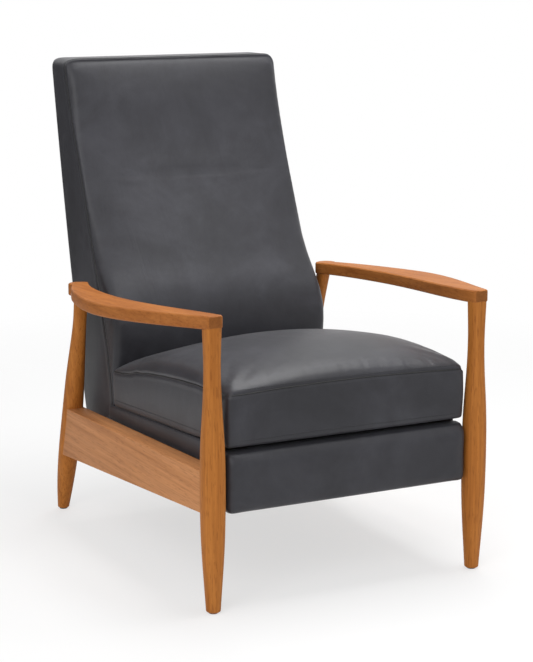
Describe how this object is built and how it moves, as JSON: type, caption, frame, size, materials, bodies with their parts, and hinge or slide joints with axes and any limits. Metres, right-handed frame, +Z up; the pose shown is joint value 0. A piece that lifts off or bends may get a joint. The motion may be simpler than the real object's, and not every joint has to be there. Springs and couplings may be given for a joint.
{
  "type": "reclining chair",
  "caption": "Push-back recliner with leather back, seat cushion and folding footrest on a shaped open wooden frame with bowed arms.",
  "frame": {"origin": "on the floor, under the middle of the chair's bounding box", "axes": "+Z up, -Y is where the sitter faces, +X to the right as seen from in front"},
  "size_m": [0.8158, 0.968, 1.05],
  "materials": {
    "frame_wood": "satin",
    "inner_wood": "matte",
    "stained_wood": "matte",
    "deck_cloth": "matte",
    "plywood": "matte",
    "leather": "satin",
    "webbing": "matte",
    "steel": "satin",
    "glide_plastic": "matte"
  },
  "bodies": {
    "frame": {"front_leg_left": "frame_wood", "front_leg_right": "frame_wood", "rear_leg_left": "frame_wood", "rear_leg_right": "frame_wood", "arm_left": "frame_wood", "arm_right": "frame_wood", "side_rail_left": "frame_wood", "side_rail_right": "frame_wood", "front_stretcher": "frame_wood", "rear_stretcher": "frame_wood", "foot_glides": "glide_plastic", "swing_base_left": "steel", "swing_base_right": "steel"},
    "front_swing_links": {"front_swing_link_left": "steel", "front_swing_link_right": "steel"},
    "rear_swing_links": {"rear_swing_link_left": "steel", "rear_swing_link_right": "steel"},
    "seat": {"seat_rail_left": "stained_wood", "seat_rail_right": "stained_wood", "seat_front_rail": "stained_wood", "seat_rear_rail": "inner_wood", "seat_front_board": "stained_wood", "seat_webbing": "webbing", "seat_deck_cloth": "deck_cloth", "seat_front_band": "leather", "seat_band_left": "leather", "seat_band_right": "leather", "seat_cushion": "leather", "seat_bracket_left": "steel", "seat_bracket_right": "steel", "footrest_plate_left": "steel", "footrest_plate_right": "steel", "footrest_pivot_pins": "steel", "back_hinge_pins": "steel"},
    "back": {"back_upholstery": "leather", "back_rear_panel": "leather", "back_post_left": "inner_wood", "back_post_right": "inner_wood", "back_bottom_rail": "inner_wood", "back_middle_rail": "inner_wood", "back_top_rail": "inner_wood", "back_webbing": "webbing", "back_bracket_left": "steel", "back_bracket_right": "steel"},
    "footrest_drive_links": {"footrest_drive_link_left": "steel", "footrest_drive_link_right": "steel"},
    "footrest_guide_links": {"footrest_guide_link_left": "steel", "footrest_guide_link_right": "steel"},
    "footrest_lift_links": {"footrest_lift_link_left": "steel", "footrest_lift_link_right": "steel"},
    "footrest_cross_links": {"footrest_cross_link_left": "steel", "footrest_cross_link_right": "steel"},
    "footrest_tie_links": {"footrest_tie_link_left": "steel", "footrest_tie_link_right": "steel"},
    "footrest": {"footrest_bracket_left": "steel", "footrest_bracket_right": "steel", "footrest_board": "plywood", "footrest_pad": "leather"}
  },
  "joints": [
    {"name": "front_swing", "type": "hinge", "parent": "frame", "child": "front_swing_links", "pos_m": [0, -0.29, 0.206], "axis": [-1, 0, 0], "range_deg": [-44, 0]},
    {"name": "seat_level", "type": "hinge", "parent": "front_swing_links", "child": "seat", "pos_m": [0, -0.26752, 0.26163], "axis": [-1, 0, 0], "range_deg": [0, 44]},
    {"name": "rear_swing", "type": "hinge", "parent": "frame", "child": "rear_swing_links", "pos_m": [0, 0.04, 0.186], "axis": [-1, 0, 0], "range_deg": [-44, 0]},
    {"name": "back_recline", "type": "hinge", "parent": "seat", "child": "back", "pos_m": [0, 0.164, 0.245], "axis": [-1, 0, 0], "range_deg": [0, 28]},
    {"name": "footrest_drive", "type": "hinge", "parent": "seat", "child": "footrest_drive_links", "pos_m": [0, -0.359, 0.305], "axis": [-1, 0, 0], "range_deg": [0, 95]},
    {"name": "footrest_guide", "type": "hinge", "parent": "footrest_drive_links", "child": "footrest_guide_links", "pos_m": [0, -0.34962, 0.25182], "axis": [-1, 0, 0], "range_deg": [-135, 0]},
    {"name": "footrest_lift", "type": "hinge", "parent": "footrest_drive_links", "child": "footrest_lift_links", "pos_m": [0, -0.34025, 0.19864], "axis": [-1, 0, 0], "range_deg": [-135, 0]},
    {"name": "footrest_cross", "type": "hinge", "parent": "footrest_guide_links", "child": "footrest_cross_links", "pos_m": [0, -0.37862, 0.30205], "axis": [-1, 0, 0], "range_deg": [0, 135]},
    {"name": "footrest_panel", "type": "hinge", "parent": "footrest_lift_links", "child": "footrest", "pos_m": [0, -0.39625, 0.29564], "axis": [-1, 0, 0], "range_deg": [0, 135]},
    {"name": "footrest_tie", "type": "hinge", "parent": "footrest_cross_links", "child": "footrest_tie_links", "pos_m": [0, -0.35987, 0.19569], "axis": [-1, 0, 0], "range_deg": [-135, 0]}
  ],
  "couplings": [
    {"joint": "front_swing", "follows": "back_recline", "ratio": -1.5714},
    {"joint": "seat_level", "follows": "back_recline", "ratio": 1.5714},
    {"joint": "rear_swing", "follows": "back_recline", "ratio": -1.5714},
    {"joint": "footrest_drive", "follows": "back_recline", "ratio": 3.3929},
    {"joint": "footrest_guide", "follows": "back_recline", "ratio": -4.8214},
    {"joint": "footrest_lift", "follows": "back_recline", "ratio": -4.8214},
    {"joint": "footrest_cross", "follows": "back_recline", "ratio": 4.8214},
    {"joint": "footrest_panel", "follows": "back_recline", "ratio": 4.8214},
    {"joint": "footrest_tie", "follows": "back_recline", "ratio": -4.8214}
  ]
}
